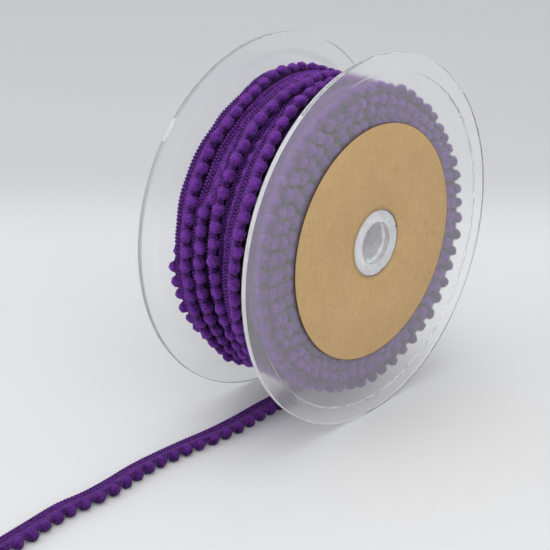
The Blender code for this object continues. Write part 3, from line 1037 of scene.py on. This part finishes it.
class MakeWinding(bpy.types.Operator):
    """Fill the winding: its hidden form, and the turns that lie against the two flanges"""

    bl_idname = "trim_roll.make_winding"
    bl_label = "Winding"
    bl_options = {"REGISTER", "UNDO"}

    def execute(self, context):
        bm = new_soft_mesh()
        lift = bm.verts.layers.float["lift"]
        spin_profile(bm, [(x * MM, r * MM) for x, r in WINDING_SECTION], RIBS_PER_TURN)
        # Painted shade: the hidden form is painted dark.
        for vert in bm.verts:
            vert[lift] = WINDING_PAINTED_LIGHT
        shared = ("purple_trim", "wound_trim")
        finish_piece(bm, "winding", "deep_yarn", *shared, smooth_angle=40)

        draw = random.Random(RING_SEED)
        axis = Vector((1.0, 0.0, 0.0))
        on_pitch, on_axis, outwards = RING_STRAY
        bm = new_soft_mesh()
        for radius, follow, along, count in FRONT_RINGS:
            start = draw.uniform(0, 360 / count)
            for number in range(count):
                degrees = start + (number + stray(draw, on_pitch)) * 360 / count
                wander = at_stations(TURNS["front"], degrees)[1] - FRONT_RING_LIE
                middle = point_round(
                    (along + draw.uniform(*on_axis)) * MM,
                    (radius + wander * follow + stray(draw, outwards)) * MM, degrees,
                )
                out = way_round(0.0, 1.0, degrees)
                add_pompom(bm, middle, out.cross(axis), out, axis, draw)
        # The rings behind the front flange take yarn darkened with painted shade.
        finish_piece(bm, "front_pompoms", "flange_yarn", *shared)

        bm = new_soft_mesh()
        for (edge_radius, edge_along), (root_radius, root_along) in BACK_RINGS:
            ribs = round(RIBS_PER_TURN * edge_radius / USUAL_RADIUS)

            def spine(along):
                degrees = along * 360 / ribs
                place = point_round(0.0, edge_radius, degrees)
                edge = Vector((edge_along, edge_radius + noise.noise(place * SWAY_SCALE) * SWAY))
                over = (Vector((root_along, root_radius)) - edge).normalized()
                return (
                    point_round(edge.x * MM, edge.y * MM, degrees),
                    point_round(root_along * MM, root_radius * MM, degrees),
                    way_round(-over.y, over.x, degrees),
                )

            knit_band(bm, ribs, spine)
        finish_piece(bm, "back_bands", "purple_yarn", *shared)
        return {"FINISHED"}


def rim_wall_slot(facing, along, degrees):
    """The material slot of a face of a rim's wall, by which way its flange faces and its place."""
    if facing < 0:
        # Painted shade: a darker wall on this part of the back rim.
        return SHADED_EDGE if SHADED_RIM[0] < degrees < SHADED_RIM[1] else CLEAR
    # Painted highlight and light: milkier edges and wall on parts of the front rim.
    low, high = WALL_LINE, RIM_FACE - STEP
    by_edge = abs(along - (low + high) / 2) > (high - low) / 2
    bright = by_edge and BRIGHT_RIM[0] < degrees < BRIGHT_RIM[1]
    return EDGE if bright or MILKY_RIM[0] < degrees < MILKY_RIM[1] else RIM


def flange_profile(slope):
    """One flange's section. slope is how far the step to its rim band is drawn out."""
    return (
        (RIM_FACE, REEL_RADIUS), (WALL_LINE, REEL_RADIUS), (FLANGE_INNER_FACE, REEL_RADIUS),
        (FLANGE_INNER_FACE, BORE_RADIUS), (COLLAR_FACE, BORE_RADIUS),
        (COLLAR_FACE, COLLAR_RADIUS), (FIELD_FACE, COLLAR_RADIUS),
        (FIELD_FACE, RIM_BAND_RADIUS - slope), (RIM_FACE, RIM_BAND_RADIUS),
    )


class MakeFlanges(bpy.types.Operator):
    """Mould the two frosted flanges of the reel"""

    bl_idname = "trim_roll.make_flanges"
    bl_label = "Flanges"
    bl_options = {"REGISTER", "UNDO"}

    def execute(self, context):
        reel = context.scene.trim_roll_reel
        for name, facing, slope, look in FLANGES:
            bm = bmesh.new()
            spin_profile(bm, flange_profile(slope), REEL_STEPS, reel.bevel)
            if facing < 0:
                bmesh.ops.scale(bm, verts=bm.verts, vec=(-1.0, 1.0, 1.0))
            cut = bmesh.ops.bisect_plane(
                bm, geom=[*bm.verts, *bm.edges, *bm.faces], dist=0.001 * MM,
                plane_co=(0.0, 0.0, 0.0), plane_no=(0.0, 0.0, 1.0), clear_inner=True,
            )["geom_cut"]
            edges = [item for item in cut if isinstance(item, bmesh.types.BMEdge)]
            bmesh.ops.holes_fill(bm, edges=edges, sides=0)
            for vert in bm.verts:
                degrees, radius, out = round_axis(vert.co)
                if facing > 0:
                    near = min(abs(degrees - nick) for nick in COLLAR_NICKS)
                    if near < NICK_REACH and abs(radius - COLLAR_RADIUS) < CORNER:
                        vert.co.yz -= out * NICK_DEPTH * MM
                elif BURR[0] < degrees < BURR[1] and radius > REEL_RADIUS - CORNER:
                    torn = noise.noise((vert.co - AXIS_POINT) * BURR_SCALE)
                    vert.co.yz += out * (BURR_HEIGHTS[0] + BURR_HEIGHTS[1] * torn) * MM
            for face in bm.faces:
                middle = face.calc_center_median()
                degrees, radius = round_axis(middle)[:2]
                if radius < COLLAR_RADIUS + CORNER:
                    face.material_index = MILKY
                elif radius > REEL_RADIUS + HAIR:
                    face.material_index = EDGE
                elif radius > REEL_RADIUS - CORNER:
                    face.material_index = rim_wall_slot(facing, middle.x, degrees)
                elif facing > 0 and radius > RIM_BAND_RADIUS + STEP:
                    face.material_index = RIM
            piece = finish_piece(
                bm, f"{name}_disc", look, "frosted_plastic", name, smooth_angle=15
            )
            for other in OTHER_FLANGE_LOOKS:
                piece.data.materials.append(material_of(other))
        return {"FINISHED"}


class MakeCore(bpy.types.Operator):
    """Turn the core of the reel"""

    bl_idname = "trim_roll.make_core"
    bl_label = "Core"
    bl_options = {"REGISTER", "UNDO"}

    def execute(self, context):
        drum_inside = DRUM_RADIUS - DRUM_WALL
        tube_outside = BORE_RADIUS + TUBE_WALL
        profile = (
            (CORE_END, DRUM_RADIUS), (-CORE_END, DRUM_RADIUS), (-CORE_END, drum_inside),
            (-HALF_WEB, drum_inside), (-HALF_WEB, tube_outside), (-CORE_END, tube_outside),
            (-CORE_END, BORE_RADIUS), (-BORE_STEP, BORE_RADIUS), (-BORE_STEP, BORE_INSIDE),
            (BORE_STEP, BORE_INSIDE), (BORE_STEP, BORE_RADIUS), (CORE_END, BORE_RADIUS),
            (CORE_END, tube_outside), (HALF_WEB, tube_outside), (HALF_WEB, drum_inside),
            (CORE_END, drum_inside),
        )
        bm = bmesh.new()
        spin_profile(bm, profile, BORE_STEPS, CORE_BEVEL)
        least, more = RAGGED_INWARD
        for vert in bm.verts:
            radius, out = round_axis(vert.co)[1:]
            if radius < BORE_INSIDE - HAIR and abs(vert.co.x - BORE_STEP) < RAGGED_REACH:
                place = Vector((0.0, *out)) * RAGGED_SCALE + Vector(RAGGED_PLACE)
                torn = noise.noise(place)
                vert.co.x -= max(0.0, torn) * RAGGED_DEPTH * MM
                vert.co.yz -= out * (least + more * abs(torn)) * MM
        finish_piece(
            bm, "core_drum", "core_plastic_look", "core_plastic", "core", smooth_angle=35
        )
        return {"FINISHED"}


class MakeLabel(bpy.types.Operator):
    """Cut the plain round paper label"""

    bl_idname = "trim_roll.make_label"
    bl_label = "Label"
    bl_options = {"REGISTER", "UNDO"}

    def execute(self, context):
        low, high = LABEL_LOW[0], LABEL_HIGH[0]
        bm = bmesh.new()
        spin_profile(
            bm,
            (
                (high, LABEL_RADIUS), (low, LABEL_RADIUS),
                (low, LABEL_HOLE_RADIUS), (high, LABEL_HOLE_RADIUS),
            ),
            REEL_STEPS, LABEL_BEVEL,
        )
        for vert in bm.verts:
            if round_axis(vert.co)[1] < 2 * COLLAR_RADIUS:
                vert.co.yz += Vector(LABEL_HOLE_SHIFT)
        finish_piece(
            bm, "paper_label", "kraft_paper_look", "kraft_paper", "label_ring", smooth_angle=35
        )
        return {"FINISHED"}


class TrimRollPanel(bpy.types.Panel):
    """The roll's sizes and colours, and a button for each piece"""

    bl_idname = "VIEW3D_PT_trim_roll"
    bl_label = "Trim Roll"
    bl_space_type = "VIEW_3D"
    bl_region_type = "UI"
    bl_category = "Trim Roll"

    def draw(self, context):
        for title, name, _, operators in SECTIONS:
            box = self.layout.box()
            box.label(text=title)
            settings = getattr(context.scene, name)
            for key in settings.bl_rna.properties.keys():
                if key not in {"rna_type", "name"}:
                    box.prop(settings, key)
            for operator in operators:
                box.operator(operator.bl_idname)


# Each part of the panel: its title, its settings' name on the scene, their kind and its operators.
SECTIONS = (
    ("Studio", "trim_roll_studio", StudioSettings, (MakeStudio,)),
    ("Trim", "trim_roll_trim", TrimSettings, (MakeFreeEnd, MakeTurns, MakeWinding)),
    ("Reel", "trim_roll_reel", ReelSettings, (MakeFlanges, MakeCore)),
    ("Label", "trim_roll_label", LabelSettings, (MakeLabel,)),
)
CLASSES = (*(operator for section in SECTIONS for operator in section[3]), TrimRollPanel)


def register():
    for _, name, kind, _ in SECTIONS:
        bpy.utils.register_class(kind)
        setattr(bpy.types.Scene, name, PointerProperty(type=kind))
    for cls in CLASSES:
        bpy.utils.register_class(cls)


def unregister():
    for cls in reversed(CLASSES):
        bpy.utils.unregister_class(cls)
    for _, name, kind, _ in reversed(SECTIONS):
        delattr(bpy.types.Scene, name)
        bpy.utils.unregister_class(kind)


def main():
    """Make every piece in order."""
    register()
    bpy.ops.trim_roll.make_studio()
    bpy.ops.trim_roll.make_free_end()
    bpy.ops.trim_roll.make_turns()
    bpy.ops.trim_roll.make_winding()
    bpy.ops.trim_roll.make_flanges()
    bpy.ops.trim_roll.make_core()
    bpy.ops.trim_roll.make_label()


if __name__ == "__main__":
    main()
